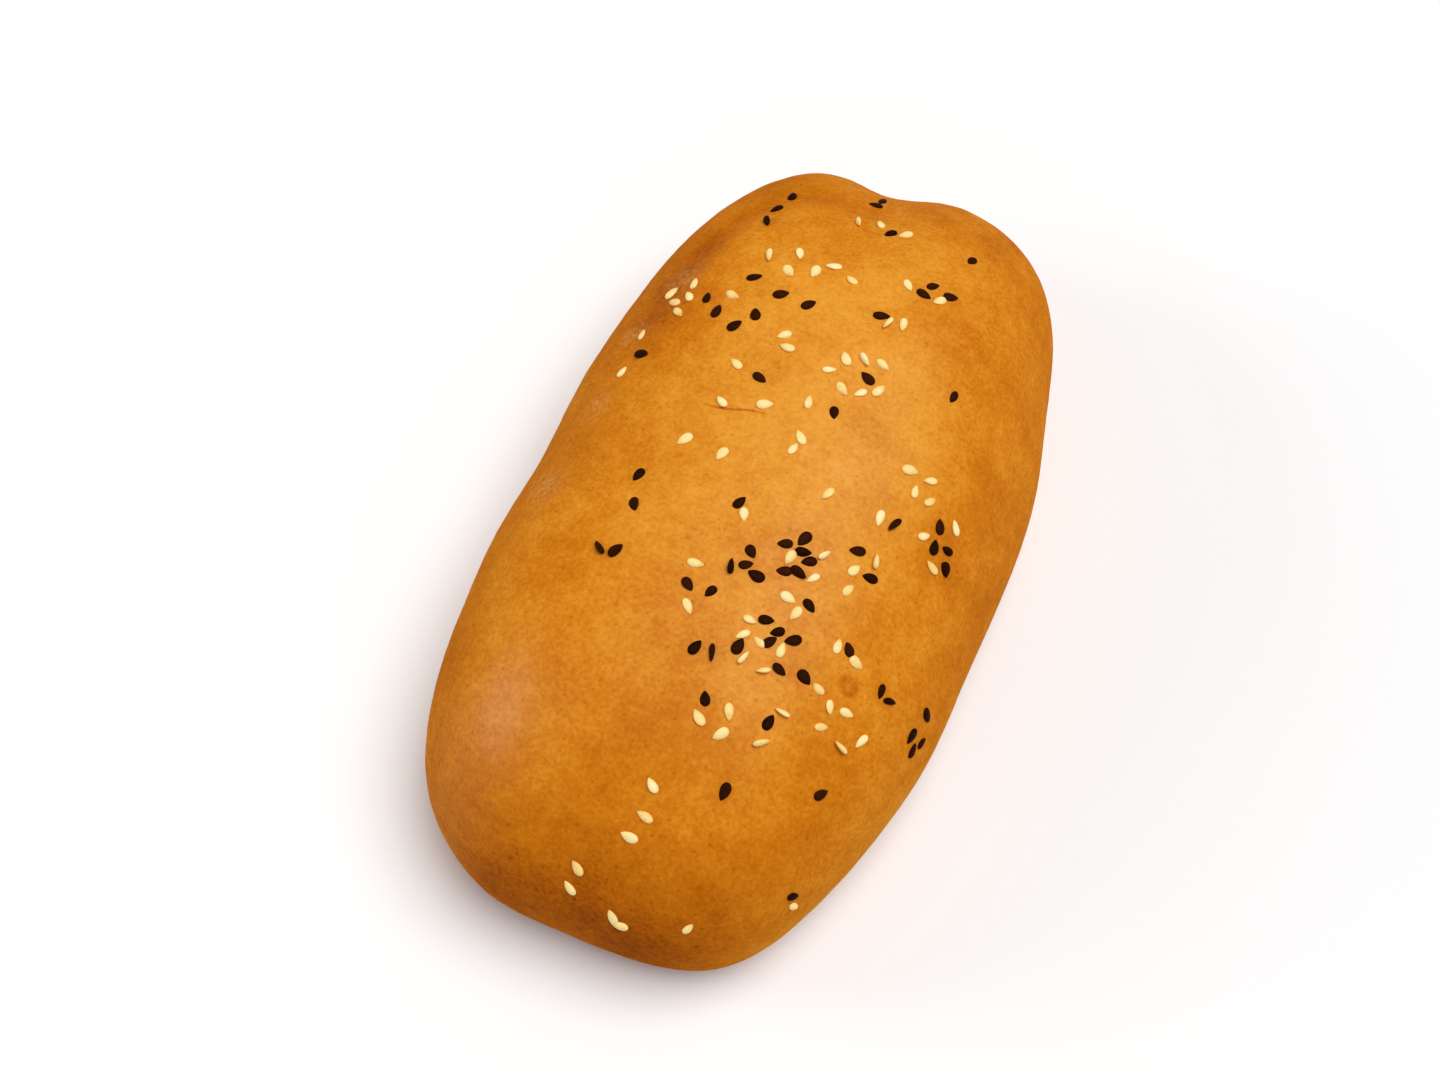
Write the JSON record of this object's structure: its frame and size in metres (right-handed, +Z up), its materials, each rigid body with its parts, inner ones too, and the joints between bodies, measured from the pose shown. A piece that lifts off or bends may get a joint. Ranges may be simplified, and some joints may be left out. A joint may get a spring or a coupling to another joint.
{
  "type": "sesame sandwich bun",
  "caption": "Closed oblong sandwich bun with a smooth domed golden crust, a flat underside and a sprinkle of pale and black sesame seeds.",
  "frame": {"origin": "on the flat underside, below the middle of the bun's plan", "axes": "+Z up from the underside to the crown, +Y along the bun to its dented far end, +X to its right side"},
  "size_m": [0.0825, 0.1503, 0.0465],
  "materials": {
    "crust": "satin",
    "pale_sesame": "satin",
    "black_sesame": "satin"
  },
  "bodies": {
    "root": {"bun": "crust"}
  },
  "joints": []
}
